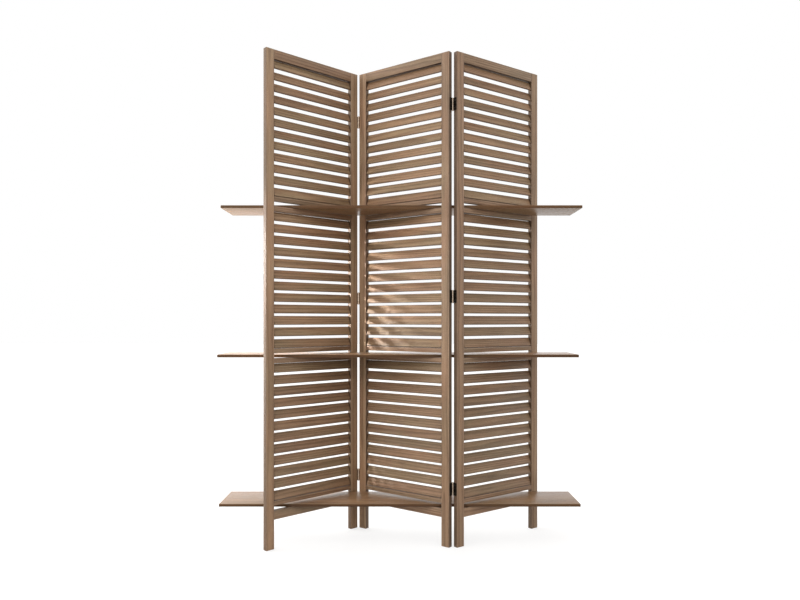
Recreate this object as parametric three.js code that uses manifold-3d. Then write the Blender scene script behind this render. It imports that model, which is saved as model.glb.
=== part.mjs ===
// A folding room divider of three louvred panels, with three shelves threaded through their slots.
// Millimetres. +X runs along the shelves, +Y points away from the viewer, +Z is up.
// The origin is on the floor, under the middle of the whole object.
import * as THREE from 'three';
import { mergeVertices } from 'three/addons/utils/BufferGeometryUtils.js';
import Module from 'manifold-3d';

const wasm = await Module();
wasm.setup();

// ---- driving sizes ----

// panel frame
const panelWidth = 400;
const stileWidth = 32;
const stileThickness = 18;
const railThickness = 17;
const footHeight = 100;
const bottomRailHeight = 31;
const topRailHeight = 32.5;
const railAboveSlotHeight = 16;
const railBelowSlotHeight = 18;
const woodEdgeEase = 1;
const tenonLength = 9;
const tenonThickness = 8;
const tenonShoulder = 3;

// louvre slats
const slatsPerBank = 12;
const slatPitch = 39.35;
const slatWidth = 32;
const slatThickness = 5;
const slatTiltDegrees = 22;
const slatEdgeEase = 0.8;
const slatTenonLength = 6;
const slatTenonWidth = 18;
const slatTenonThickness = 3;
const slatToRailGap = 1.4;

// shelves
const slotHeight = 17;
const shelfLength = 1256;
const shelfDepth = 180;
const shelfThickness = 10;
const topShelfShift = -7.5;
const middleShelfShift = -19.5;
const bottomShelfShift = -13.5;
const shelfSetForward = 1.3;

// play between the long edges of the shelves and the stiles that they pass, which sets how far
// the panels are opened
const centrePanelPlay = 3;
const leftPanelPlay = 1.1;
const rightPanelPlay = 1.7;

// hinges
const hingeHeight = 44;
const lowerHingeHeight = 199;
const upperHingeBelowTop = 179;
const leafWidth = 15;
const leafThickness = 1.4;
const knucklesPerHinge = 3;
const pinRadius = 1.1;
const pinHeadRadius = 2;
const pinHeadHeight = 1.2;
const screwHoleRadius = 1.7;
const screwSinkRadius = 3;
const screwSinkDepth = 1;
const screwFromLeafEnd = 9;

// clearances
const fitGap = 0.3;
const cutOverrun = 5;

// facets of the small round forms
const barrelSides = 12;
const boreSides = 8;

// ---- sizes that follow ----

const slatTilt = THREE.MathUtils.degToRad(slatTiltDegrees);
const slatRise = slatWidth * Math.cos(slatTilt) + slatThickness * Math.sin(slatTilt);
const bankHeight = (slatsPerBank - 1) * slatPitch + slatRise;
const louvreHeight = bankHeight + 2 * slatToRailGap;
const slotModule = slotHeight + railAboveSlotHeight + louvreHeight + railBelowSlotHeight;
const lowestSlotFloor = footHeight + bottomRailHeight;
const slotFloors = {
  bottom: lowestSlotFloor,
  middle: lowestSlotFloor + slotModule,
  top: lowestSlotFloor + 2 * slotModule,
};
const topRailFloor = slotFloors.top + slotHeight + railAboveSlotHeight + louvreHeight;
const panelHeight = topRailFloor + topRailHeight;
const openWidth = panelWidth - 2 * stileWidth;

const barrelRadius = pinRadius + fitGap + leafThickness;
const pinFromSide = leafThickness + 2 * fitGap;
const pinFromFace = Math.sqrt((barrelRadius + fitGap) ** 2 - pinFromSide ** 2);
const upperHingeHeight = panelHeight - upperHingeBelowTop;
const hingeHeights = {
  lower: lowerHingeHeight,
  middle: (lowerHingeHeight + upperHingeHeight) / 2,
  upper: upperHingeHeight,
};

// ---- materials ----

const wood = new THREE.MeshStandardMaterial({ color: 0x8b7058, roughness: 0.62, metalness: 0 });
const shelfWood = new THREE.MeshStandardMaterial({ color: 0x7f654d, roughness: 0.58, metalness: 0 });
const hingeMetal = new THREE.MeshStandardMaterial({ color: 0x2c2622, roughness: 0.45, metalness: 0.85 });

// ---- solids: joining and cutting ----

function toSolid(geometry) {
  const bare = geometry.index ? geometry.toNonIndexed() : geometry.clone();
  bare.deleteAttribute('normal');
  bare.deleteAttribute('uv');
  const merged = mergeVertices(bare, 1e-4);
  return new wasm.Manifold(new wasm.Mesh({
    numProp: 3,
    vertProperties: new Float32Array(merged.attributes.position.array),
    triVerts: new Uint32Array(merged.index.array),
  }));
}

function toMesh(name, solid, material) {
  const { vertProperties, triVerts, numProp } = solid.getMesh();
  const positions = new Float32Array(vertProperties.length / numProp * 3);
  for (let i = 0; i < positions.length / 3; i += 1) {
    for (let axis = 0; axis < 3; axis += 1) {
      positions[i * 3 + axis] = vertProperties[i * numProp + axis];
    }
  }
  const geometry = new THREE.BufferGeometry();
  geometry.setAttribute('position', new THREE.BufferAttribute(positions, 3));
  geometry.setIndex(Array.from(triVerts));
  geometry.computeVertexNormals();
  const mesh = new THREE.Mesh(geometry, material);
  mesh.name = name;
  return mesh;
}

function joinAll(solids) {
  return solids.reduce((whole, solid) => whole.add(solid));
}

function cutAll(whole, cutters) {
  return cutters.reduce((left, cutter) => left.subtract(cutter), whole);
}

// A block between two corners.
function block(low, high) {
  const geometry = new THREE.BoxGeometry(high[0] - low[0], high[1] - low[1], high[2] - low[2]);
  geometry.translate((low[0] + high[0]) / 2, (low[1] + high[1]) / 2, (low[2] + high[2]) / 2);
  return toSolid(geometry);
}

// An upright cylinder or cone about the line x, y.
function upright(x, y, low, high, radiusLow, radiusHigh, sides) {
  const geometry = new THREE.CylinderGeometry(radiusHigh, radiusLow, high - low, sides);
  geometry.rotateX(Math.PI / 2);
  geometry.translate(x, y, (low + high) / 2);
  return toSolid(geometry);
}

// A bore's polygon stands outside its circle, so that a round pin clears its flats.
function boreRadius(radius) {
  return radius / Math.cos(Math.PI / boreSides);
}

// The outline of a board's section, wide along its first axis, with its four long edges eased.
function easedSection(width, thickness, ease) {
  const a = width / 2;
  const b = thickness / 2;
  return new THREE.Shape([
    new THREE.Vector2(-a + ease, -b),
    new THREE.Vector2(a - ease, -b),
    new THREE.Vector2(a, -b + ease),
    new THREE.Vector2(a, b - ease),
    new THREE.Vector2(a - ease, b),
    new THREE.Vector2(-a + ease, b),
    new THREE.Vector2(-a, b - ease),
    new THREE.Vector2(-a, -b + ease),
  ]);
}

// A board that runs along x from one end to the other. Its section lies in the y, z plane.
const lyingAlongX = new THREE.Matrix4().makeBasis(
  new THREE.Vector3(0, 1, 0),
  new THREE.Vector3(0, 0, 1),
  new THREE.Vector3(1, 0, 0),
);

function boardAlongX(section, from, to) {
  const geometry = new THREE.ExtrudeGeometry(section, { depth: to - from, bevelEnabled: false });
  geometry.applyMatrix4(lyingAlongX);
  geometry.translate(from, 0, 0);
  return geometry;
}

// ---- one panel, in its own frame: x across, front face at -y, centred on x = 0 ----

// Heights of the seven rails, from the floor up.
function railSpans() {
  const spans = { bottom_rail: [footHeight, lowestSlotFloor] };
  for (const [level, floor] of Object.entries(slotFloors)) {
    const ceiling = floor + slotHeight;
    if (level !== 'bottom') {
      spans[`${level}_slot_lower_rail`] = [floor - railBelowSlotHeight, floor];
    }
    spans[`${level}_slot_upper_rail`] = [ceiling, ceiling + railAboveSlotHeight];
  }
  spans.top_rail = [topRailFloor, panelHeight];
  return spans;
}

// Middle heights of the slats in the bank that stands over one slot.
function slatHeights(level) {
  const bankFloor = slotFloors[level] + slotHeight + railAboveSlotHeight + slatToRailGap;
  return Array.from({ length: slatsPerBank }, (_, i) => bankFloor + slatRise / 2 + i * slatPitch);
}

// The tenon at one end of a rail, grown by a clearance where it cuts its mortise.
function railTenon(side, low, high, grow) {
  const reach = openWidth / 2 + tenonLength + grow;
  const start = openWidth / 2 - stileWidth / 2;
  const xs = [side * start, side * reach].sort((a, b) => a - b);
  return block(
    [xs[0], -tenonThickness / 2 - grow, low + tenonShoulder - grow],
    [xs[1], tenonThickness / 2 + grow, high - tenonShoulder + grow],
  );
}

function railSolid(low, high) {
  const half = openWidth / 2 - fitGap;
  const geometry = boardAlongX(easedSection(railThickness, high - low, woodEdgeEase), -half, half);
  geometry.translate(0, 0, (low + high) / 2);
  return joinAll([toSolid(geometry), railTenon(-1, low, high, 0), railTenon(1, low, high, 0)]);
}

// A board along x at a height, turned to the louvres' angle: the upper edge leans to the back.
function tiltedBoard(section, from, to, height) {
  const geometry = boardAlongX(section, from, to);
  geometry.rotateX(-slatTilt);
  geometry.translate(0, 0, height);
  return toSolid(geometry);
}

// The tenon at a slat's free end, which its mortise repeats with a clearance round it.
function slatTenon(side, height, grow) {
  const section = easedSection(slatTenonThickness + 2 * grow, slatTenonWidth + 2 * grow, 0);
  const reach = openWidth / 2 + slatTenonLength + grow;
  const start = openWidth / 2 - slatTenonLength;
  const xs = [side * start, side * reach].sort((a, b) => a - b);
  return tiltedBoard(section, xs[0], xs[1], height);
}

// A slat grown out of the stile on its own side, with a tenon for the stile across.
function carriedSlat(side, height) {
  const rooted = side * (openWidth / 2 + slatTenonLength);
  const free = -side * (openWidth / 2 - fitGap);
  const xs = [rooted, free].sort((a, b) => a - b);
  const section = easedSection(slatThickness, slatWidth, slatEdgeEase);
  return tiltedBoard(section, xs[0], xs[1], height).add(slatTenon(-side, height, 0));
}

// A stile with its rail mortises, and either the slats grown out of it or the mortises for their tenons.
function stileSolid(side, carriesSlats) {
  const section = easedSection(stileWidth, stileThickness, woodEdgeEase);
  const geometry = new THREE.ExtrudeGeometry(section, { depth: panelHeight, bevelEnabled: false });
  geometry.translate(side * (panelWidth - stileWidth) / 2, 0, 0);
  const railMortises = Object.values(railSpans()).map(([low, high]) => railTenon(side, low, high, fitGap));
  const post = cutAll(toSolid(geometry), railMortises);
  const heights = Object.keys(slotFloors).flatMap(slatHeights);
  if (carriesSlats) {
    return joinAll([post, ...heights.map((height) => carriedSlat(side, height))]);
  }
  return cutAll(post, heights.map((height) => slatTenon(side, height, fitGap)));
}

// ---- hinges, in the frame of the panel that they are screwed to ----

// The line that a hinge turns about: just off the outer corner of the stile.
function pinLine(side, face) {
  return {
    x: side * (panelWidth / 2 + pinFromSide),
    y: face * (stileThickness / 2 + pinFromFace),
  };
}

// Spans of the knuckles that belong to one leaf: 0 has the end ones, 1 those between.
function knuckleSpans(height, leaf) {
  const pitch = hingeHeight / knucklesPerHinge;
  const bottom = height - hingeHeight / 2;
  const spans = [];
  for (let i = leaf; i < knucklesPerHinge; i += 2) {
    const low = bottom + i * pitch;
    spans.push([low + fitGap / 2, low + pitch - fitGap / 2]);
  }
  return spans;
}

// A countersunk screw hole through the leaf, drilled along x.
function screwHole(side, y, z) {
  const skin = panelWidth / 2 + fitGap;
  const outer = skin + leafThickness;
  const drill = new THREE.CylinderGeometry(screwHoleRadius, screwHoleRadius, 2 * cutOverrun, boreSides);
  const sink = new THREE.CylinderGeometry(screwSinkRadius, screwHoleRadius, screwSinkDepth, boreSides);
  sink.translate(0, screwSinkDepth / 2, 0);
  const flare = toSolid(sink.rotateZ(-side * Math.PI / 2).translate(side * (outer - screwSinkDepth), y, z));
  return flare.add(toSolid(drill.rotateZ(Math.PI / 2).translate(side * skin, y, z)));
}

function hingeLeafSolid(side, face, height, leaf) {
  const pin = pinLine(side, face);
  const bottom = height - hingeHeight / 2 + fitGap / 2;
  const top = height + hingeHeight / 2 - fitGap / 2;
  const xs = [side * (panelWidth / 2 + fitGap), side * (panelWidth / 2 + fitGap + leafThickness)];
  const ys = [pin.y, face * (stileThickness / 2 - leafWidth)];
  xs.sort((a, b) => a - b);
  ys.sort((a, b) => a - b);
  const barrels = knuckleSpans(height, leaf).map(([low, high]) => (
    upright(pin.x, pin.y, low, high, barrelRadius, barrelRadius, barrelSides)
  ));
  const notches = knuckleSpans(height, 1 - leaf).map(([low, high]) => {
    const radius = boreRadius(barrelRadius + fitGap);
    return upright(pin.x, pin.y, low - fitGap, high + fitGap, radius, radius, boreSides);
  });
  const plate = cutAll(block([xs[0], ys[0], bottom], [xs[1], ys[1], top]), notches);
  const bore = boreRadius(pinRadius + fitGap);
  const pinHole = upright(pin.x, pin.y, bottom - cutOverrun, top + cutOverrun, bore, bore, boreSides);
  const holeY = face * (stileThickness / 2 - leafWidth / 2);
  const holes = [bottom + screwFromLeafEnd, top - screwFromLeafEnd].map((z) => screwHole(side, holeY, z));
  return cutAll(joinAll([plate, ...barrels]), [pinHole, ...holes]);
}

// A pin with a button head at each end.
function hingePinSolid(side, face, height) {
  const { x, y } = pinLine(side, face);
  const bottom = height - hingeHeight / 2 - fitGap;
  const top = height + hingeHeight / 2 + fitGap;
  const crown = pinHeadRadius * 0.6;
  return joinAll([
    upright(x, y, bottom - fitGap, top + fitGap, pinRadius, pinRadius, barrelSides),
    upright(x, y, bottom - pinHeadHeight, bottom, crown, pinHeadRadius, barrelSides),
    upright(x, y, top, top + pinHeadHeight, pinHeadRadius, crown, barrelSides),
  ]);
}

// ---- shelves ----

function shelfMesh(level, shift) {
  const section = easedSection(shelfDepth, shelfThickness, woodEdgeEase);
  const geometry = boardAlongX(section, shift - shelfLength / 2, shift + shelfLength / 2);
  const shelf = toMesh(`${level}_shelf`, toSolid(geometry), shelfWood);
  shelf.position.z = slotFloors[level] + fitGap + shelfThickness / 2;
  return shelf;
}

// ---- how the panels stand ----

// The angle at which a length along the panel, less one across it, reaches a given depth.
function angleForReach(along, across, reach) {
  return Math.asin(reach / Math.hypot(along, across)) + Math.atan2(across, along);
}

// Depth from the shelves' middle line to a hinge line, where the stile beside it has this play.
function hingeDepth(play, angle) {
  return shelfDepth / 2 + play + (stileWidth + pinFromSide) * Math.sin(angle) - pinFromFace * Math.cos(angle);
}

const centreAngle = angleForReach(openWidth, stileThickness, shelfDepth + 2 * centrePanelPlay);
const rearHingeDepth = hingeDepth(centrePanelPlay + shelfSetForward, centreAngle);
const frontHingeDepth = hingeDepth(centrePanelPlay - shelfSetForward, centreAngle);

function outerPanelAngle(hingeLineDepth, play) {
  return angleForReach(stileWidth + pinFromSide, pinFromFace, hingeLineDepth - shelfDepth / 2 - play);
}

const leftAngle = outerPanelAngle(rearHingeDepth, leftPanelPlay);
const rightAngle = outerPanelAngle(frontHingeDepth, rightPanelPlay);

// Each panel's slats grow out of one stile, on the side (-1 or 1) where the shelves pass it
// with more room.
const panels = {
  left: {
    angle: leftAngle,
    slatSide: -1,
    hinges: [{ side: 1, face: -1, leaf: 1, joint: 'rear' }],
  },
  centre: {
    angle: -centreAngle,
    slatSide: -1,
    hinges: [
      { side: -1, face: -1, leaf: 0, joint: 'rear', holdsPin: true },
      { side: 1, face: 1, leaf: 0, joint: 'front', holdsPin: true },
    ],
  },
  right: {
    angle: rightAngle,
    slatSide: 1,
    hinges: [{ side: -1, face: 1, leaf: 1, joint: 'front' }],
  },
};

function panelGroup(name, { angle, slatSide, hinges }) {
  const group = new THREE.Group();
  for (const [side, sideName] of [[-1, 'left'], [1, 'right']]) {
    const carriesSlats = side === slatSide;
    const suffix = carriesSlats ? 'stile_with_slats' : 'stile';
    group.add(toMesh(`${name}_panel_${sideName}_${suffix}`, stileSolid(side, carriesSlats), wood));
  }
  for (const [rail, [low, high]] of Object.entries(railSpans())) {
    group.add(toMesh(`${name}_panel_${rail}`, railSolid(low, high), wood));
  }
  for (const { side, face, leaf, joint, holdsPin } of hinges) {
    for (const [level, height] of Object.entries(hingeHeights)) {
      const leafSolid = hingeLeafSolid(side, face, height, leaf);
      group.add(toMesh(`${name}_panel_${joint}_hinge_leaf_${level}`, leafSolid, hingeMetal));
      if (holdsPin) {
        group.add(toMesh(`${joint}_hinge_pin_${level}`, hingePinSolid(side, face, height), hingeMetal));
      }
    }
  }
  group.rotation.z = angle;
  return group;
}

// Where a panel's middle goes, so that its pin line falls on a given point.
function hangOnPin(group, side, face, point) {
  const line = pinLine(side, face);
  const offset = new THREE.Vector3(line.x, line.y, 0).applyEuler(group.rotation);
  group.position.copy(point).sub(offset);
}

function pinPoint(group, side, face) {
  const line = pinLine(side, face);
  return new THREE.Vector3(line.x, line.y, 0).applyEuler(group.rotation).add(group.position);
}

const leftPanel = panelGroup('left', panels.left);
const centrePanel = panelGroup('centre', panels.centre);
const rightPanel = panelGroup('right', panels.right);
centrePanel.position.y = shelfSetForward;
hangOnPin(leftPanel, 1, -1, pinPoint(centrePanel, -1, -1));
hangOnPin(rightPanel, -1, 1, pinPoint(centrePanel, 1, 1));

const divider = new THREE.Group();
divider.add(leftPanel, centrePanel, rightPanel);
divider.add(shelfMesh('top', topShelfShift));
divider.add(shelfMesh('middle', middleShelfShift));
divider.add(shelfMesh('bottom', bottomShelfShift));

const whole = new THREE.Box3().setFromObject(divider, true);
const middle = whole.getCenter(new THREE.Vector3());
divider.position.set(-middle.x, -middle.y, 0);

export default divider;
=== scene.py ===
import math
import random

import bmesh
import bpy
from mathutils import Matrix, Vector


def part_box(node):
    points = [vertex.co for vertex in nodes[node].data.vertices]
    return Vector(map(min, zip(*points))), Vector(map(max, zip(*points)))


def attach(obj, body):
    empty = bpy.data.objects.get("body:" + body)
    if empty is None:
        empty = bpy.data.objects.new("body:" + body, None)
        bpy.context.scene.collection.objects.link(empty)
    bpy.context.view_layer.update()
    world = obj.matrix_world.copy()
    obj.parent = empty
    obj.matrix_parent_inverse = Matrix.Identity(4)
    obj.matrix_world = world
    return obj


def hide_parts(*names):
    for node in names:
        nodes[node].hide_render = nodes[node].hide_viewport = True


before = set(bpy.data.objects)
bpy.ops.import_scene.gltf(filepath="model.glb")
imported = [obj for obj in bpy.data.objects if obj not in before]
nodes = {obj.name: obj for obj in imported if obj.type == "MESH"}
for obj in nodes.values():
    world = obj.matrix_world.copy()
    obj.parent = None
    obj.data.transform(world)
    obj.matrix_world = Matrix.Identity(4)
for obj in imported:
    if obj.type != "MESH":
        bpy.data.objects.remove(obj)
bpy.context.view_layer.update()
print("frame loaded:", len(nodes), "parts")


# Short ways to build shader trees.

def addNode(tree, kind, settings=None, inputs=None):
    node = tree.nodes.new(kind)
    for key, value in (settings or {}).items():
        setattr(node, key, value)
    for key, value in (inputs or {}).items():
        if isinstance(value, bpy.types.NodeSocket):
            tree.links.new(value, node.inputs[key])
        else:
            node.inputs[key].default_value = value
    return node


def calculate(tree, operation, *values, clamp=False):
    inputs = {i: value for i, value in enumerate(values)}
    return addNode(tree, "ShaderNodeMath", {"operation": operation, "use_clamp": clamp}, inputs).outputs[0]


def calculateVector(tree, operation, *values):
    inputs = {i: value for i, value in enumerate(values)}
    return addNode(tree, "ShaderNodeVectorMath", {"operation": operation}, inputs).outputs[0]


def stretched(tree, point, scale):
    return calculateVector(tree, "MULTIPLY", point, scale)


def noise(tree, point, scale, detail=2.0, roughness=0.5):
    inputs = {"Vector": point, "Scale": scale, "Detail": detail, "Roughness": roughness}
    return addNode(tree, "ShaderNodeTexNoise", {"noise_dimensions": "3D"}, inputs).outputs["Fac"]


def spread(tree, value, low, high, outLow=0.0, outHigh=1.0):
    inputs = {"Value": value, "From Min": low, "From Max": high, "To Min": outLow, "To Max": outHigh}
    settings = {"interpolation_type": "SMOOTHSTEP", "clamp": True}
    return addNode(tree, "ShaderNodeMapRange", settings, inputs).outputs["Result"]


def blendColour(tree, mode, factor, first, second):
    node = addNode(tree, "ShaderNodeMix", {"data_type": "RGBA", "blend_type": mode, "clamp_factor": True})
    for index, value in ((0, factor), (6, first), (7, second)):
        if isinstance(value, bpy.types.NodeSocket):
            tree.links.new(value, node.inputs[index])
        else:
            node.inputs[index].default_value = value
    return node.outputs[2]


def colourRamp(tree, value, stops):
    node = addNode(tree, "ShaderNodeValToRGB", None, {"Fac": value})
    ramp = node.color_ramp
    while len(ramp.elements) < len(stops):
        ramp.elements.new(0.5)
    for element, (position, colour) in zip(ramp.elements, stops):
        element.position = position
        element.color = (*colour, 1.0)
    return node.outputs["Color"]


def newGroup(name, inputs, outputs):
    group = bpy.data.node_groups.new(name, "ShaderNodeTree")
    for socketName, kind, value in inputs:
        socket = group.interface.new_socket(socketName, in_out="INPUT", socket_type="NodeSocket" + kind)
        if value is not None:
            socket.default_value = value
    for socketName, kind in outputs:
        group.interface.new_socket(socketName, in_out="OUTPUT", socket_type="NodeSocket" + kind)
    return group, group.nodes.new("NodeGroupInput").outputs, group.nodes.new("NodeGroupOutput")


def placeGroup(tree, group, inputs):
    return addNode(tree, "ShaderNodeGroup", {"node_tree": group}, inputs).outputs


# The stretches are how fast each noise changes along, across and through a board, a metre.
grainSizes = {
    "logSpread": (9.0, 0.09, 0.10), "logOffset": (0.0, 0.0, 0.03),
    "slow": (1.3, 11.0, 11.0), "fine": (7.0, 60.0, 60.0), "fineSway": 0.0012,
    "lateWood": (0.25, 0.9), "ringEnd": (0.92, 1.0),
    "fibres": (9.0, 620.0, 620.0), "fibreRange": (0.3, 0.7),
    "pores": (70.0, 1900.0, 1900.0), "poreRange": (0.6, 0.72),
    "patches": (5.0, 16.0, 16.0), "patchRange": (0.32, 0.68),
    "cast": (2.2, 9.0, 9.0), "castScale": 2.0, "castRange": (0.3, 0.7),
}


# Grain of one board, read in the board's own space: x along the grain, y across its width, z through it.
def makeWoodGrain():
    group, given, result = newGroup(
        "woodGrain",
        [("Board Point", "Vector", None), ("Seed", "Float", 0.0), ("Ring Spacing", "Float", 0.006),
         ("Wander", "Float", 0.008)],
        [("Rings", "Float"), ("Fibres", "Float"), ("Pores", "Float"), ("Patches", "Float"), ("Cast", "Float")],
    )
    dice = addNode(group, "ShaderNodeTexWhiteNoise", {"noise_dimensions": "1D"}, {"W": given["Seed"]})
    # each board is cut from another place in its log, some near the heart and some far out
    place = calculateVector(group, "MULTIPLY_ADD", dice.outputs["Color"], grainSizes["logSpread"],
                            grainSizes["logOffset"])
    point = calculateVector(group, "ADD", given["Board Point"], place)
    slow = noise(group, stretched(group, point, grainSizes["slow"]), 1.0, 2.0)
    fine = noise(group, stretched(group, point, grainSizes["fine"]), 1.0, 1.0)
    parts = addNode(group, "ShaderNodeSeparateXYZ", None, {"Vector": point}).outputs
    square = calculate(group, "MULTIPLY", parts["Y"], parts["Y"])
    radius = calculate(group, "SQRT", calculate(group, "MULTIPLY_ADD", parts["Z"], parts["Z"], square))
    sway = calculate(group, "MULTIPLY_ADD", calculate(group, "SUBTRACT", slow, 0.5), given["Wander"], radius)
    fineTurn = calculate(group, "SUBTRACT", fine, 0.5)
    sway = calculate(group, "MULTIPLY_ADD", fineTurn, grainSizes["fineSway"], sway)
    turn = calculate(group, "FRACT", calculate(group, "DIVIDE", sway, given["Ring Spacing"]))
    # each ring darkens slowly towards its late wood, then drops back
    late = spread(group, turn, *grainSizes["lateWood"])
    fall = spread(group, turn, *grainSizes["ringEnd"], 1.0, 0.0)
    group.links.new(calculate(group, "MULTIPLY", late, fall), result.inputs["Rings"])
    fibres = noise(group, stretched(group, point, grainSizes["fibres"]), 1.0, 3.0, 0.6)
    group.links.new(spread(group, fibres, *grainSizes["fibreRange"]), result.inputs["Fibres"])
    pores = noise(group, stretched(group, point, grainSizes["pores"]), 1.0, 1.0)
    group.links.new(spread(group, pores, *grainSizes["poreRange"]), result.inputs["Pores"])
    patches = noise(group, stretched(group, point, grainSizes["patches"]), 1.0, 2.0, 0.6)
    group.links.new(spread(group, patches, *grainSizes["patchRange"]), result.inputs["Patches"])
    cast = noise(group, stretched(group, point, grainSizes["cast"]), grainSizes["castScale"], 1.0)
    group.links.new(spread(group, cast, *grainSizes["castRange"]), result.inputs["Cast"])
    return group


edgeSizes = {
    "ragged": (60.0, 400.0, 400.0), "raggedDepth": 1.4, "fadeFrom": 0.15, "faceDepth": 0.0003, "sideWidth": 0.0009,
}


# Where a point lies on its board: near a long or short edge, on an end, or on a narrow side.
def makeBoardEdges():
    group, given, result = newGroup(
        "boardEdges",
        [("Board Point", "Vector", None), ("Half Size", "Vector", None), ("Width", "Float", 0.002),
         ("End Width", "Float", 0.0009)],
        [("Edge", "Float"), ("End", "Float"), ("Side", "Float")],
    )
    inside = calculateVector(group, "SUBTRACT", given["Half Size"],
                             calculateVector(group, "ABSOLUTE", given["Board Point"]))
    left = addNode(group, "ShaderNodeSeparateXYZ", None, {"Vector": inside}).outputs
    # the second smallest distance to a face is the distance to the nearest edge
    least = calculate(group, "MINIMUM", left["X"], left["Y"])
    most = calculate(group, "MAXIMUM", left["X"], left["Y"])
    toEdge = calculate(group, "MAXIMUM", least, calculate(group, "MINIMUM", most, left["Z"]))
    ragged = noise(group, stretched(group, given["Board Point"], edgeSizes["ragged"]), 1.0, 2.0)
    ragged = calculate(group, "MULTIPLY", calculate(group, "SUBTRACT", ragged, 0.5), given["Width"])
    distance = calculate(group, "MULTIPLY_ADD", ragged, edgeSizes["raggedDepth"], toEdge)
    ratio = calculate(group, "DIVIDE", distance, given["Width"])
    deep = edgeSizes["faceDepth"]
    group.links.new(spread(group, ratio, edgeSizes["fadeFrom"], 1.0, 1.0, 0.0), result.inputs["Edge"])
    group.links.new(spread(group, left["X"], deep, given["End Width"], 1.0, 0.0), result.inputs["End"])
    group.links.new(spread(group, left["Y"], deep, edgeSizes["sideWidth"], 1.0, 0.0), result.inputs["Side"])
    return group


woodGrain = makeWoodGrain()
boardEdges = makeBoardEdges()


def newMaterial(name):
    material = bpy.data.materials.new(name)
    material.use_nodes = True
    tree = material.node_tree
    return material, tree, tree.nodes["Principled BSDF"]


def readAttribute(tree, name, output):
    return addNode(tree, "ShaderNodeAttribute", {"attribute_name": name}).outputs[output]


woodFinish = {
    "diceStep": 3.7, "boardCast": 0.9, "poreRoughness": 0.12, "poreHeight": -0.8, "ringHeight": 0.5,
    "bumpDistance": 0.00025, "index": 1.47,
}


def makeWood(name, look):
    material, tree, shader = newMaterial(name)
    point = readAttribute(tree, "boardPoint", "Vector")
    half = readAttribute(tree, "boardHalf", "Vector")
    seed = readAttribute(tree, "boardSeed", "Fac")
    grain = placeGroup(tree, woodGrain, {
        "Board Point": point, "Seed": seed, "Ring Spacing": look["ringSpacing"], "Wander": look["wander"],
    })
    edges = placeGroup(tree, boardEdges, {
        "Board Point": point, "Half Size": half, "Width": look["edgeWidth"], "End Width": look["endWidth"],
    })
    dice = addNode(tree, "ShaderNodeTexWhiteNoise", {"noise_dimensions": "1D"},
                   {"W": calculate(tree, "MULTIPLY", seed, woodFinish["diceStep"])}).outputs
    # tone runs from the pale early wood to the dark late wood
    tone = calculate(tree, "MULTIPLY", grain["Rings"], look["ringDepth"])
    tone = calculate(tree, "MULTIPLY_ADD", grain["Fibres"], look["fibreDepth"], tone)
    tone = calculate(tree, "MULTIPLY_ADD", grain["Patches"], look["patchDepth"], tone)
    colour = colourRamp(tree, tone, look["tones"])
    # warm and grey casts change along a board, and from board to board
    cast = calculate(tree, "MULTIPLY_ADD", calculate(tree, "SUBTRACT", dice["Value"], 0.5),
                     woodFinish["boardCast"], grain["Cast"])
    colour = blendColour(tree, "MULTIPLY", look["castDepth"], colour, colourRamp(tree, cast, look["casts"]))
    chance = addNode(tree, "ShaderNodeSeparateColor", None, {"Color": dice["Color"]}).outputs["Green"]
    shade = spread(tree, chance, 0.0, 1.0, *look["boardShade"])
    # painted light and shade: a per-board factor brightens or darkens the whole board for the light that falls on
    # it
    shade = calculate(tree, "MULTIPLY", shade, readAttribute(tree, "paintedLightTone", "Fac"))
    colour = blendColour(tree, "MULTIPLY", 1.0, colour,
                         addNode(tree, "ShaderNodeCombineColor", None,
                                 {"Red": shade, "Green": shade, "Blue": shade}).outputs["Color"])
    poreMask = calculate(tree, "MULTIPLY", grain["Pores"], look["poreDepth"])
    colour = blendColour(tree, "MULTIPLY", poreMask, colour, (*look["poreColour"], 1.0))
    colour = blendColour(tree, "MIX", calculate(tree, "MULTIPLY", edges["Edge"], look["edgeDepth"]),
                         colour, (*look["edgeColour"], 1.0))
    colour = blendColour(tree, "MULTIPLY", calculate(tree, "MULTIPLY", edges["Side"], look["sideDepth"]),
                         colour, (*look["sideColour"], 1.0))
    colour = blendColour(tree, "MULTIPLY", calculate(tree, "MULTIPLY", edges["End"], look["endDepth"]),
                         colour, (*look["endColour"], 1.0))
    tree.links.new(colour, shader.inputs["Base Color"])
    rough = calculate(tree, "MULTIPLY_ADD", grain["Fibres"], look["roughnessSpread"], look["roughness"])
    rough = calculate(tree, "MULTIPLY_ADD", grain["Pores"], woodFinish["poreRoughness"], rough)
    tree.links.new(rough, shader.inputs["Roughness"])
    height = calculate(tree, "MULTIPLY_ADD", grain["Pores"], woodFinish["poreHeight"], grain["Fibres"])
    height = calculate(tree, "MULTIPLY_ADD", grain["Rings"], woodFinish["ringHeight"], height)
    bump = addNode(tree, "ShaderNodeBump", None,
                   {"Strength": look["bump"], "Distance": woodFinish["bumpDistance"], "Height": height})
    tree.links.new(bump.outputs["Normal"], shader.inputs["Normal"])
    shader.inputs["IOR"].default_value = woodFinish["index"]
    shader.inputs["Specular IOR Level"].default_value = look["sheen"]
    return material


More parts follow.
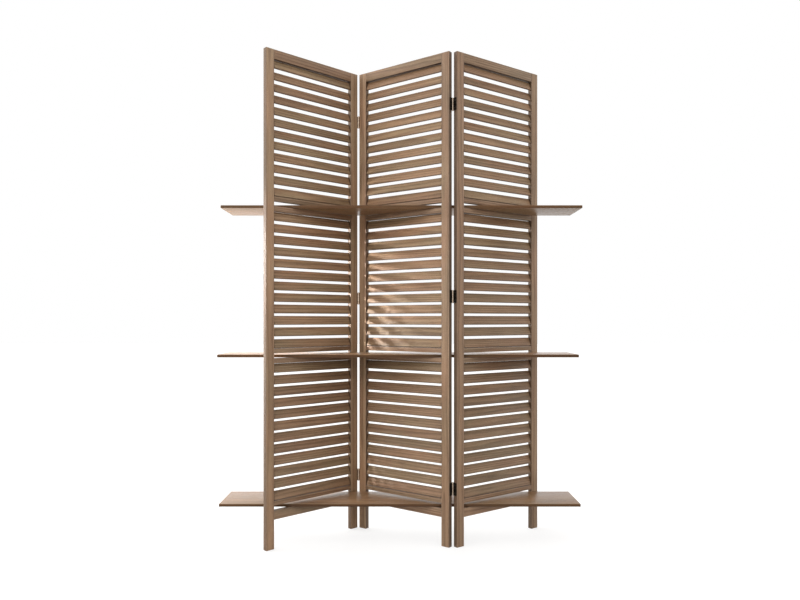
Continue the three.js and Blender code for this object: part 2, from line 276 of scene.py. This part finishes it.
# Colours are linear. Depths run from 0, no effect, to 1.
frameLook = {
    "ringSpacing": 0.0052, "wander": 0.016,
    "ringDepth": 0.46, "fibreDepth": 0.46, "patchDepth": 0.22,
    "tones": [(0.0, (0.345, 0.222, 0.132)), (0.45, (0.250, 0.155, 0.089)), (1.0, (0.136, 0.079, 0.042))],
    "castDepth": 0.55,
    "casts": [(0.0, (0.92, 1.0, 0.98)), (0.45, (1.0, 0.98, 0.95)), (1.0, (1.08, 0.93, 0.88))],
    "boardShade": (0.97, 1.03),
    "poreDepth": 0.45, "poreColour": (0.45, 0.38, 0.33),
    "edgeWidth": 0.0022, "edgeDepth": 0.45, "edgeColour": (0.40, 0.285, 0.205),
    "sideDepth": 1.0, "sideColour": (0.46, 0.44, 0.42),
    "endWidth": 0.0009, "endDepth": 0.6, "endColour": (0.45, 0.40, 0.36),
    "roughness": 0.50, "roughnessSpread": 0.12, "bump": 0.5, "sheen": 0.5,
}
slatLook = dict(
    frameLook, ringSpacing=0.0062, wander=0.020, sideDepth=0.0,
    tones=[(0.0, (0.350, 0.225, 0.128)), (0.45, (0.254, 0.157, 0.085)), (1.0, (0.138, 0.080, 0.041))],
    casts=[(0.0, (0.90, 1.0, 0.95)), (0.4, (1.0, 0.98, 0.95)), (1.0, (1.10, 0.92, 0.88))],
    # painted shade: the slats are darkened towards their long edges and narrow faces, for the shade between
    # overlapping slats
    boardShade=(0.90, 1.08), edgeWidth=0.0024, edgeDepth=0.68, edgeColour=(0.075, 0.045, 0.026),
    # painted shadow: the slats are darkened over their last 6 mm, for the shadow where they meet the stiles
    endWidth=0.0060, endDepth=0.85, endColour=(0.34, 0.29, 0.25), poreDepth=0.6,
)
shelfLook = dict(
    frameLook, ringSpacing=0.0085, wander=0.030,
    tones=[(0.0, (0.345, 0.214, 0.116)), (0.45, (0.247, 0.148, 0.077)), (1.0, (0.143, 0.081, 0.040))],
    boardShade=(0.96, 1.04), edgeDepth=0.25,
    sideDepth=0.92, sideColour=(0.32, 0.24, 0.15), endDepth=0.8,
    roughness=0.27, roughnessSpread=0.08, sheen=0.22,
)
frameWood = makeWood("frameWood", frameLook)
slatWood = makeWood("slatWood", slatLook)
shelfWood = makeWood("shelfWood", shelfLook)


metalFinish = {
    "cloudScale": 260.0, "cloudRange": (0.35, 0.7), "speckScale": 2600.0, "speckRange": (0.55, 0.75),
    "speckDepth": 0.35, "cloudRoughness": 0.16, "rubbedRange": (0.00285, 0.0031), "rubbedRoughness": -0.12,
    "bump": 0.25, "bumpDistance": 0.0001, "metallic": 0.9,
}


def makeHingeMetal(name, look):
    material, tree, shader = newMaterial(name)
    point = addNode(tree, "ShaderNodeTexCoord").outputs["Object"]
    cloud = spread(tree, noise(tree, point, metalFinish["cloudScale"], 3.0), *metalFinish["cloudRange"])
    speck = spread(tree, noise(tree, point, metalFinish["speckScale"], 2.0), *metalFinish["speckRange"])
    colour = blendColour(tree, "MIX", cloud, (*look["dark"], 1.0), (*look["light"], 1.0))
    speckMask = calculate(tree, "MULTIPLY", speck, metalFinish["speckDepth"])
    colour = blendColour(tree, "MIX", speckMask, colour, (*look["worn"], 1.0))
    rough = calculate(tree, "MULTIPLY_ADD", cloud, metalFinish["cloudRoughness"], look["roughness"])
    if "barrel" in look:
        # painted highlight: the barrel about the pin is painted a pale, smoother metal so that it shows a bright
        # highlight
        parts = addNode(tree, "ShaderNodeSeparateXYZ", None, {"Vector": point}).outputs
        square = calculate(tree, "MULTIPLY", parts["Y"], parts["Y"])
        radius = calculate(tree, "SQRT", calculate(tree, "MULTIPLY_ADD", parts["X"], parts["X"], square))
        rubbed = spread(tree, radius, *metalFinish["rubbedRange"], 1.0, 0.0)
        barrelHighlightColour = blendColour(tree, "MIX", cloud, (*look["barrel"], 1.0), (*look["barrelWorn"], 1.0))
        colour = blendColour(tree, "MIX", rubbed, colour, barrelHighlightColour)
        rough = calculate(tree, "MULTIPLY_ADD", rubbed, metalFinish["rubbedRoughness"], rough)
    tree.links.new(colour, shader.inputs["Base Color"])
    tree.links.new(rough, shader.inputs["Roughness"])
    bump = addNode(tree, "ShaderNodeBump", None, {
        "Strength": metalFinish["bump"], "Distance": metalFinish["bumpDistance"], "Height": speck,
    })
    tree.links.new(bump.outputs["Normal"], shader.inputs["Normal"])
    shader.inputs["Metallic"].default_value = metalFinish["metallic"]
    return material


hingeMetal = makeHingeMetal("hingeMetal", {
    "dark": (0.014, 0.011, 0.008), "light": (0.034, 0.027, 0.020), "worn": (0.090, 0.066, 0.046),
    # painted highlight: the pale barrel colours give the barrel about the pin its bright highlight
    "barrel": (0.46, 0.36, 0.27), "barrelWorn": (0.62, 0.51, 0.41), "roughness": 0.26,
})
screwMetal = makeHingeMetal("screwMetal", {
    "dark": (0.050, 0.040, 0.032), "light": (0.120, 0.100, 0.082), "worn": (0.220, 0.180, 0.150),
    "roughness": 0.26,
})
print("materials made")


# Adds one board to a mesh under construction. Its own x runs along the grain.
def addBoard(mesh, size, place, seed, ease=0.0012, steps=2, tone=1.0):
    made = bmesh.new()
    bmesh.ops.create_cube(made, size=1.0)
    bmesh.ops.scale(made, vec=size, verts=made.verts)
    bmesh.ops.bevel(made, geom=made.edges[:], offset=ease, segments=steps, profile=0.5, affect="EDGES")
    half = Vector(size) / 2
    corners = {}
    for vert in made.verts:
        copy = mesh.verts.new(place @ vert.co)
        copy[mesh.verts.layers.float_vector["boardPoint"]] = vert.co
        copy[mesh.verts.layers.float_vector["boardHalf"]] = half
        copy[mesh.verts.layers.float["boardSeed"]] = seed
        # painted light and shade: the tone is a per-board brightness factor standing in for the light that falls
        # on the board
        copy[mesh.verts.layers.float["paintedLightTone"]] = tone
        corners[vert] = copy
    for face in made.faces:
        mesh.faces.new([corners[vert] for vert in face.verts])
    made.free()


def startBoards():
    mesh = bmesh.new()
    mesh.verts.layers.float_vector.new("boardPoint")
    mesh.verts.layers.float_vector.new("boardHalf")
    mesh.verts.layers.float.new("boardSeed")
    mesh.verts.layers.float.new("paintedLightTone")
    return mesh


smoothAngles = {"board": 40, "metal": 30}


def showMesh(name, data, material, smoothAngle):
    piece = bpy.data.objects.new(name, data)
    bpy.context.scene.collection.objects.link(piece)
    if material.name not in [slot.name for slot in data.materials if slot]:
        data.materials.append(material)
    data.shade_smooth()
    data.set_sharp_from_angle(angle=math.radians(smoothAngle))
    return piece


def finishBoards(mesh, name, material):
    data = bpy.data.meshes.new(name)
    mesh.to_mesh(data)
    mesh.free()
    return showMesh(name, data, material, smoothAngles["board"])


def standFor(piece, body, slotName, *replaced):
    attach(piece, body)
    if replaced:
        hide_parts(*replaced)


panelSizes = {
    "width": 0.400, "stileWidth": 0.032, "stileThickness": 0.018, "railThickness": 0.017,
    "footHeight": 0.100, "bottomRail": 0.031, "topRail": 0.0325, "railAboveSlot": 0.016, "railBelowSlot": 0.018,
    "slotHeight": 0.017, "joint": 0.00015, "stileEase": 0.0016, "railEase": 0.0012,
}
slatSizes = {
    "count": 12, "pitch": 0.03935, "width": 0.032, "thickness": 0.005, "tilt": math.radians(22),
    "toRail": 0.0014, "ease": 0.0009, "loose": math.radians(0.5),
    "settled": {0: -0.0011, 11: 0.0005},  # the outermost slats of a bank nearly touch the rails
    # painted shade: the bottom bank of slats is darkened for the dimmer light near the floor
    "bankPaintedShade": {"bottom": 0.87, "middle": 1.0, "top": 1.0},
}
openWidth = panelSizes["width"] - 2 * panelSizes["stileWidth"]
slatRise = (slatSizes["width"] * math.cos(slatSizes["tilt"])
            + slatSizes["thickness"] * math.sin(slatSizes["tilt"]))
louvreHeight = (slatSizes["count"] - 1) * slatSizes["pitch"] + slatRise + 2 * slatSizes["toRail"]
slotModule = (panelSizes["slotHeight"] + panelSizes["railAboveSlot"] + louvreHeight
              + panelSizes["railBelowSlot"])
lowestSlot = panelSizes["footHeight"] + panelSizes["bottomRail"]
slotFloors = {"bottom": lowestSlot, "middle": lowestSlot + slotModule, "top": lowestSlot + 2 * slotModule}
topRailFloor = slotFloors["top"] + panelSizes["slotHeight"] + panelSizes["railAboveSlot"] + louvreHeight
panelHeight = topRailFloor + panelSizes["topRail"]


# A panel's own frame, read from its top rail: x across the panel, front face at -y.
def panelPlace(panel):
    rail = nodes[panel + "_panel_top_rail"]
    low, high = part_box(rail.name)
    middle = (low + high) / 2
    sumXX = sum((v.co.x - middle.x) ** 2 for v in rail.data.vertices)
    sumYY = sum((v.co.y - middle.y) ** 2 for v in rail.data.vertices)
    sumXY = sum((v.co.x - middle.x) * (v.co.y - middle.y) for v in rail.data.vertices)
    yaw = 0.5 * math.atan2(2 * sumXY, sumXX - sumYY)
    return Matrix.Translation((middle.x, middle.y, 0)) @ Matrix.Rotation(yaw, 4, "Z")


# Turns a board's own axes to the panel's: along, across and through.
def boardAxes(along, across):
    along, across = Vector(along), Vector(across)
    through = along.cross(across)
    return Matrix((along, across, through)).transposed().to_4x4()


upright = boardAxes((0, 0, 1), (1, 0, 0))
level = boardAxes((1, 0, 0), (0, 0, 1))


def railSpans():
    spans = {"bottom_rail": (panelSizes["footHeight"], lowestSlot), "top_rail": (topRailFloor, panelHeight)}
    for name, floor in slotFloors.items():
        ceiling = floor + panelSizes["slotHeight"]
        if name != "bottom":
            spans[name + "_slot_lower_rail"] = (floor - panelSizes["railBelowSlot"], floor)
        spans[name + "_slot_upper_rail"] = (ceiling, ceiling + panelSizes["railAboveSlot"])
    return spans


def makePanelWood(panel, slatSide, stilePaintedLight, slatPaintedLight, dice):
    place = panelPlace(panel)
    body = panel + "_panel"
    for side, sideName, tone in ((-1, "left", stilePaintedLight[0]), (1, "right", stilePaintedLight[1])):
        mesh = startBoards()
        across = side * (panelSizes["width"] - panelSizes["stileWidth"]) / 2
        at = Matrix.Translation((across, 0, panelHeight / 2))
        size = (panelHeight, panelSizes["stileWidth"], panelSizes["stileThickness"])
        addBoard(mesh, size, place @ at @ upright, dice.random(), panelSizes["stileEase"], 3, tone)
        node = f"{panel}_panel_{sideName}_stile" + ("_with_slats" if side == slatSide else "")
        piece = finishBoards(mesh, f"{panel}_panel_{sideName}_stile_wood", frameWood)
        standFor(piece, body, "frame_wood", node)
    for name, (low, high) in railSpans().items():
        mesh = startBoards()
        size = (openWidth - 2 * panelSizes["joint"], high - low, panelSizes["railThickness"])
        at = Matrix.Translation((0, 0, (low + high) / 2))
        addBoard(mesh, size, place @ at @ level, dice.random(), panelSizes["railEase"], 2)
        piece = finishBoards(mesh, f"{panel}_panel_{name}_wood", frameWood)
        standFor(piece, body, "frame_wood", f"{panel}_panel_{name}")
    carrier = f"{panel}_panel_{'left' if slatSide < 0 else 'right'}_stile_with_slats"
    for levelName, floor in slotFloors.items():
        mesh = startBoards()
        bankFloor = floor + panelSizes["slotHeight"] + panelSizes["railAboveSlot"] + slatSizes["toRail"]
        for i in range(slatSizes["count"]):
            height = bankFloor + slatRise / 2 + i * slatSizes["pitch"] + slatSizes["settled"].get(i, 0.0)
            tilt = slatSizes["tilt"] + slatSizes["loose"] * dice.uniform(-1, 1)
            at = Matrix.Translation((0, 0, height)) @ Matrix.Rotation(-tilt, 4, "X")
            size = (openWidth - 2 * panelSizes["joint"], slatSizes["width"], slatSizes["thickness"])
            addBoard(mesh, size, place @ at @ level, dice.random(), slatSizes["ease"], 2,
                     slatPaintedLight * slatSizes["bankPaintedShade"][levelName])
        piece = finishBoards(mesh, f"{panel}_panel_{levelName}_slats", slatWood)
        standFor(piece, body, "frame_wood", carrier)


# Painted light and shade: the tones of the stiles (left, right) and slats lighten or darken each panel's wood to
# its brightness in the picture, in place of the light that falls on it there.
panels = {
    "left": {"slatSide": -1, "stilePaintedLight": (1.34, 1.27), "slatPaintedLight": 1.12},
    "centre": {"slatSide": -1, "stilePaintedLight": (1.30, 1.05), "slatPaintedLight": 1.14},
    "right": {"slatSide": 1, "stilePaintedLight": (1.07, 1.13), "slatPaintedLight": 1.03},
}
diceSeeds = {"wood": 41, "screws": 7}
woodDice = random.Random(diceSeeds["wood"])
for panelName, facts in panels.items():
    makePanelWood(panelName, facts["slatSide"], facts["stilePaintedLight"], facts["slatPaintedLight"], woodDice)
print("panels made")

# painted light and shade: the top shelf is lightened and the bottom one darkened for the light that falls on them
shelfSizes = {"ease": 0.0017, "steps": 3, "tones": {"top": 1.3, "middle": 1.05, "bottom": 0.95}}
for shelfName in ("top", "middle", "bottom"):
    node = shelfName + "_shelf"
    low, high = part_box(node)
    mesh = startBoards()
    addBoard(mesh, tuple(high - low), Matrix.Translation((low + high) / 2), woodDice.random(),
             shelfSizes["ease"], shelfSizes["steps"], shelfSizes["tones"][shelfName])
    standFor(finishBoards(mesh, node + "_wood", shelfWood), node, "shelf_wood", node)
print("shelves made")


hingeSizes = {
    "height": 0.044, "leafWidth": 0.015, "leafThickness": 0.0014, "gap": 0.0003, "knuckles": 3,
    "pinRadius": 0.0011, "headRadius": 0.0020, "cornerRadius": 0.0022, "cornerSteps": 6, "edge": 0.00014,
    "screwFromEnd": 0.009, "holeRadius": 0.0030, "holeNeck": 0.62, "holeHalfLength": 0.005, "holeSides": 24,
    "sinkDepth": 0.001, "sinkTop": 0.002, "sinkSides": 28, "knuckleRelief": 1.1, "boreHalfLength": 0.03,
    "low": 0.199, "fromTop": 0.179,
}
hinge = hingeSizes
barrelRadius = hinge["pinRadius"] + hinge["gap"] + hinge["leafThickness"]
pinFromSide = hinge["leafThickness"] + 2 * hinge["gap"]
pinFromFace = math.sqrt((barrelRadius + hinge["gap"]) ** 2 - pinFromSide ** 2)
hingeHeights = {"lower": hinge["low"], "upper": panelHeight - hinge["fromTop"]}
hingeHeights["middle"] = (hingeHeights["lower"] + hingeHeights["upper"]) / 2


# A turned form about z, from its profile of (radius, height) pairs.
def turned(profile, sides=40):
    made = bmesh.new()
    rings = []
    for radius, height in profile:
        if not radius:
            rings.append([made.verts.new((0, 0, height))])
            continue
        angles = [2 * math.pi * i / sides for i in range(sides)]
        rings.append([made.verts.new((radius * math.cos(a), radius * math.sin(a), height)) for a in angles])
    for lower, upper in zip(rings, rings[1:]):
        for i in range(sides):
            j = (i + 1) % sides
            ring = [lower[i % len(lower)], lower[j % len(lower)], upper[j % len(upper)], upper[i % len(upper)]]
            distinct = list(dict.fromkeys(ring))
            if len(distinct) > 2:
                made.faces.new(distinct)
    bmesh.ops.recalc_face_normals(made, faces=made.faces)
    return made


def asMesh(made, name):
    data = bpy.data.meshes.new(name)
    made.to_mesh(data)
    made.free()
    return data


# Joins solids to a first one, or cuts them from it, and gives the mesh that is left.
def shapeSolid(name, first, changes, bevelWidth):
    helpers = []
    base = bpy.data.objects.new(name, first)
    bpy.context.scene.collection.objects.link(base)
    for operation, data in changes:
        helper = bpy.data.objects.new(name + "Helper", data)
        bpy.context.scene.collection.objects.link(helper)
        helpers.append(helper)
        step = base.modifiers.new("shape", "BOOLEAN")
        step.operation = operation
        step.solver = "EXACT"
        step.object = helper
    edge = base.modifiers.new("edge", "BEVEL")
    edge.width = bevelWidth
    edge.segments = 2
    edge.limit_method = "ANGLE"
    edge.angle_limit = math.radians(50)
    bpy.context.view_layer.update()
    shaped = bpy.data.meshes.new_from_object(base.evaluated_get(bpy.context.evaluated_depsgraph_get()))
    for helper in [base, *helpers]:
        bpy.data.objects.remove(helper)
    shaped.name = name
    return shaped


def solidBlock(low, high):
    made = bmesh.new()
    bmesh.ops.create_cube(made, size=1.0)
    size = Vector(high) - Vector(low)
    bmesh.ops.scale(made, vec=size, verts=made.verts)
    bmesh.ops.translate(made, vec=(Vector(high) + Vector(low)) / 2, verts=made.verts)
    return asMesh(made, "block")


def solidRod(radius, low, high, sides=40, turn=None):
    made = turned([(0, low), (radius, low), (radius, high), (0, high)], sides)
    if turn:
        bmesh.ops.transform(made, matrix=turn, verts=made.verts)
    return asMesh(made, "rod")


def knuckleSpans(leaf):
    pitch = hinge["height"] / hinge["knuckles"]
    spans = []
    for i in range(leaf, hinge["knuckles"], 2):
        low = -hinge["height"] / 2 + i * pitch
        spans.append((low + hinge["gap"] / 2, low + pitch - hinge["gap"] / 2))
    return spans


# A leaf about its pin, which stands at the origin. The plate has round corners, and seats for two screws.
def makeLeaf(side, face, leaf):
    gap = hinge["gap"]
    top = hinge["height"] / 2 - gap / 2
    outer, inner = -side * gap, -side * (gap + hinge["leafThickness"])
    far = -face * (hinge["leafWidth"] + pinFromFace)
    made = bmesh.new()
    outline = []
    radius = hinge["cornerRadius"]
    for sign in (-1, 1):
        arc = []
        for i in range(hinge["cornerSteps"] + 1):
            angle = math.pi / 2 * i / hinge["cornerSteps"]
            y = far + face * radius * (1 - math.sin(angle))
            arc.append((y, sign * (top - radius * (1 - math.cos(angle)))))
        outline += arc if sign < 0 else arc[::-1]
    outline = [(0.0, -top)] + outline + [(0.0, top)]
    flat = made.faces.new([made.verts.new((inner, y, z)) for y, z in outline])
    grown = bmesh.ops.extrude_face_region(made, geom=[flat])
    moved = [item for item in grown["geom"] if isinstance(item, bmesh.types.BMVert)]
    bmesh.ops.translate(made, vec=(outer - inner, 0, 0), verts=moved)
    bmesh.ops.recalc_face_normals(made, faces=made.faces)
    changes = []
    for low, high in knuckleSpans(1 - leaf):
        relief = solidRod(barrelRadius + gap * hinge["knuckleRelief"], low - gap, high + gap)
        changes.append(("DIFFERENCE", relief))
    for low, high in knuckleSpans(leaf):
        changes.append(("UNION", solidRod(barrelRadius, low, high)))
    bore = solidRod(hinge["pinRadius"] + gap / 2, -hinge["boreHalfLength"], hinge["boreHalfLength"])
    changes.append(("DIFFERENCE", bore))
    screwY = -face * (hinge["leafWidth"] / 2 + pinFromFace)
    neck = hinge["holeRadius"] * hinge["holeNeck"]
    reach = hinge["holeHalfLength"]
    for z in (-top + hinge["screwFromEnd"], top - hinge["screwFromEnd"]):
        turn = Matrix.Translation((0, screwY, z)) @ Matrix.Rotation(math.pi / 2, 4, "Y")
        changes.append(("DIFFERENCE", solidRod(neck, -reach, reach, hinge["holeSides"], turn)))
        sink = turned([(0, 0.0), (neck, 0.0), (hinge["holeRadius"], hinge["sinkDepth"]),
                       (hinge["holeRadius"], hinge["sinkTop"]), (0, hinge["sinkTop"])], hinge["sinkSides"])
        facing = (Matrix.Translation((outer - side * hinge["sinkDepth"], screwY, z))
                  @ Matrix.Rotation(side * math.pi / 2, 4, "Y"))
        bmesh.ops.transform(sink, matrix=facing, verts=sink.verts)
        changes.append(("DIFFERENCE", asMesh(sink, "sink")))
    return shapeSolid(f"hingeLeaf{side}{face}{leaf}", asMesh(made, "plate"), changes, hinge["edge"])


# Each point of a head is a share of its radius, and a height past the barrel's end.
pinSizes = {"head": [(0, 0.0015), (0.55, 0.0014), (0.88, 0.0011), (1, 0.0006), (0.97, 0.0003)], "neck": 0.0003,
            "sides": 32}


def makePin():
    half = hinge["height"] / 2
    profile = [(hinge["headRadius"] * share, -half - past) for share, past in pinSizes["head"]]
    profile.append((hinge["pinRadius"], -half - pinSizes["neck"]))
    mirrored = [(radius, -height) for radius, height in reversed(profile)]
    return asMesh(turned(profile + mirrored, pinSizes["sides"]), "hingePin")


# The radius is a share of the screw hole's, and the other shares are of the head's radius.
screwSizes = {
    "radius": 0.95, "sides": 32, "arm": 0.62, "slotHalfWidth": 0.13, "slotFloor": -0.0006, "slotTop": 0.001,
    "profile": [(0, -0.0012), (0.55, -0.0012), (0.98, -0.0002), (0.96, -0.00005), (0.6, 0.00006), (0, 0.0001)],
    "edge": 0.00005, "proud": 0.00012,
}


# A countersunk screw head with a cross recess. Its face looks along +z, at z = 0.
def makeScrew():
    radius = hinge["holeRadius"] * screwSizes["radius"]
    head = turned([(radius * share, z) for share, z in screwSizes["profile"]], screwSizes["sides"])
    arm, wide = radius * screwSizes["arm"], radius * screwSizes["slotHalfWidth"]
    floor, top = screwSizes["slotFloor"], screwSizes["slotTop"]
    slots = [("DIFFERENCE", solidBlock((-arm, -wide, floor), (arm, wide, top))),
             ("DIFFERENCE", solidBlock((-wide, -arm, floor), (wide, arm, top)))]
    return shapeSolid("screwHead", asMesh(head, "head"), slots, screwSizes["edge"])


hinges = [
    {"panel": "left", "side": 1, "face": -1, "leaf": 1, "joint": "rear"},
    {"panel": "centre", "side": -1, "face": -1, "leaf": 0, "joint": "rear", "holdsPin": True},
    {"panel": "centre", "side": 1, "face": 1, "leaf": 0, "joint": "front", "holdsPin": True},
    {"panel": "right", "side": -1, "face": 1, "leaf": 1, "joint": "front"},
]
pinMesh, screwMesh = makePin(), makeScrew()
screwDice = random.Random(diceSeeds["screws"])
for facts in hinges:
    side, face = facts["side"], facts["face"]
    body = facts["panel"] + "_panel"
    leafMesh = makeLeaf(side, face, facts["leaf"])
    line = Matrix.Translation((side * (panelSizes["width"] / 2 + pinFromSide),
                               face * (panelSizes["stileThickness"] / 2 + pinFromFace), 0))
    for heightName, height in hingeHeights.items():
        place = panelPlace(facts["panel"]) @ line @ Matrix.Translation((0, 0, height))
        node = f"{facts['panel']}_panel_{facts['joint']}_hinge_leaf_{heightName}"
        piece = showMesh(node + "_metal", leafMesh, hingeMetal, smoothAngles["metal"])
        piece.matrix_world = place
        standFor(piece, body, "dark_hinge_metal", node)
        if facts.get("holdsPin"):
            node = f"{facts['joint']}_hinge_pin_{heightName}"
            pin = showMesh(node + "_metal", pinMesh, hingeMetal, smoothAngles["metal"])
            pin.matrix_world = place
            standFor(pin, body, "dark_hinge_metal", node)
        top = hinge["height"] / 2 - hinge["gap"] / 2 - hinge["screwFromEnd"]
        for end, z in (("low", -top), ("high", top)):
            screwName = f"{facts['panel']}_{facts['joint']}_screw_{heightName}_{end}"
            screw = showMesh(screwName, screwMesh, screwMetal, smoothAngles["metal"])
            at = Matrix.Translation((-side * (hinge["gap"] + screwSizes["proud"]),
                                     -face * (hinge["leafWidth"] / 2 + pinFromFace), z))
            screw.matrix_world = (place @ at @ Matrix.Rotation(side * math.pi / 2, 4, "Y")
                                  @ Matrix.Rotation(screwDice.uniform(0, math.pi), 4, "Z"))
            standFor(screw, body, "dark_hinge_metal")
print("hinges made")


# The ranges say over which part of a direction the room goes from one brightness to the next.
# The small slit lamp throws the streaks on the centre panel.
studio = {
    "floorColour": (0.30, 0.296, 0.29), "floorGlow": 0.72, "floorRoughness": 0.9, "floorSize": 20.0,
    "floorDrop": 0.0005,
    "backdrop": (1.0, 1.0, 1.0),
    "around": 2.45, "behindCamera": 1.60, "beyond": 1.70, "left": 1.30, "right": 0.76, "overhead": 0.44,
    "frontRange": (-1.0, 0.0), "backRange": (0.2, 1.0), "acrossRange": (-0.7, 0.7),
    "aboveRange": (0.0, 0.9),
    "keyPlace": (-2.2, -1.6, 2.3), "keyAim": (0.0, 0.0, 1.1), "keySize": 1.2, "keyPower": 8.0,
    "sidePlace": (-1.25, 0.42, 0.62), "sideAim": (-0.55, 0.0, 0.66), "sideSize": 0.8, "sidePower": 9.0,
    "slitPlace": (-1.26, 0.00, 1.13), "slitAim": (-0.26, 0.27, 0.85), "slitSize": 0.09, "slitPower": 5.5,
    "slitSpread": math.radians(70),
}


def makeWorld():
    world = bpy.data.worlds.new("studioWorld")
    world.use_nodes = True
    tree = world.node_tree
    soft = tree.nodes["Background"]
    soft.inputs["Color"].default_value = (*studio["backdrop"], 1.0)
    # the room is dimmer behind the camera and overhead, and brighter on the left than on the right
    facing = addNode(tree, "ShaderNodeSeparateXYZ", None,
                     {"Vector": addNode(tree, "ShaderNodeTexCoord").outputs["Generated"]}).outputs
    front = spread(tree, facing["Y"], *studio["frontRange"], studio["behindCamera"], studio["around"])
    back = spread(tree, facing["Y"], *studio["backRange"], 1.0, studio["beyond"] / studio["around"])
    across = spread(tree, facing["X"], *studio["acrossRange"], studio["left"], studio["right"])
    above = spread(tree, facing["Z"], *studio["aboveRange"], 1.0, studio["overhead"])
    strength = calculate(tree, "MULTIPLY", calculate(tree, "MULTIPLY", front, back), across)
    strength = calculate(tree, "MULTIPLY", strength, above)
    tree.links.new(strength, soft.inputs["Strength"])
    plain = addNode(tree, "ShaderNodeBackground", None, {"Color": (*studio["backdrop"], 1.0), "Strength": 1.0})
    seen = addNode(tree, "ShaderNodeLightPath").outputs["Is Camera Ray"]
    mix = addNode(tree, "ShaderNodeMixShader", None,
                  {0: seen, 1: soft.outputs[0], 2: plain.outputs[0]})
    tree.links.new(mix.outputs[0], tree.nodes["World Output"].inputs["Surface"])
    bpy.context.scene.world = world


def makeFloor():
    made = bmesh.new()
    bmesh.ops.create_grid(made, x_segments=1, y_segments=1, size=studio["floorSize"])
    floor = bpy.data.objects.new("studioFloor", asMesh(made, "studioFloor"))
    bpy.context.scene.collection.objects.link(floor)
    material, tree, shader = newMaterial("studioFloor")
    shader.inputs["Base Color"].default_value = (*studio["floorColour"], 1.0)
    shader.inputs["Roughness"].default_value = studio["floorRoughness"]
    shader.inputs["Emission Color"].default_value = (1.0, 1.0, 1.0, 1.0)
    # the glow keeps the floor pale to the eye and in reflections, and throws no light up at the wood
    path = addNode(tree, "ShaderNodeLightPath").outputs
    seen = calculate(tree, "MAXIMUM", path["Is Camera Ray"], path["Is Glossy Ray"])
    tree.links.new(calculate(tree, "MULTIPLY", seen, studio["floorGlow"]), shader.inputs["Emission Strength"])
    floor.data.materials.append(material)
    floor.location.z = -studio["floorDrop"]


def makeLights():
    for name in ("key", "side", "slit"):
        lamp = bpy.data.lights.new(name + "Light", "AREA")
        lamp.size = studio[name + "Size"]
        lamp.energy = studio[name + "Power"]
        lamp.spread = studio.get(name + "Spread", math.pi)
        holder = bpy.data.objects.new(name + "Light", lamp)
        bpy.context.scene.collection.objects.link(holder)
        holder.location = studio[name + "Place"]
        holder.visible_camera = False
        aim = Vector(studio[name + "Aim"]) - holder.location
        holder.rotation_euler = aim.to_track_quat("-Z", "Y").to_euler()
    bpy.context.scene.view_settings.view_transform = "Standard"


cameraSizes = {"sensorWidth": 36.0, "lens": 31.775, "shiftUp": 0.02455, "place": (0.0008, -2.5224, 0.7806)}


def makeCamera():
    lens = bpy.data.cameras.new("studioCamera")
    lens.sensor_width = cameraSizes["sensorWidth"]
    lens.lens = cameraSizes["lens"]
    lens.shift_y = cameraSizes["shiftUp"]
    camera = bpy.data.objects.new("studioCamera", lens)
    bpy.context.scene.collection.objects.link(camera)
    camera.location = cameraSizes["place"]
    camera.rotation_euler = (math.pi / 2, 0, 0)
    bpy.context.scene.camera = camera


makeWorld()
makeFloor()
makeLights()
makeCamera()
print("studio made")
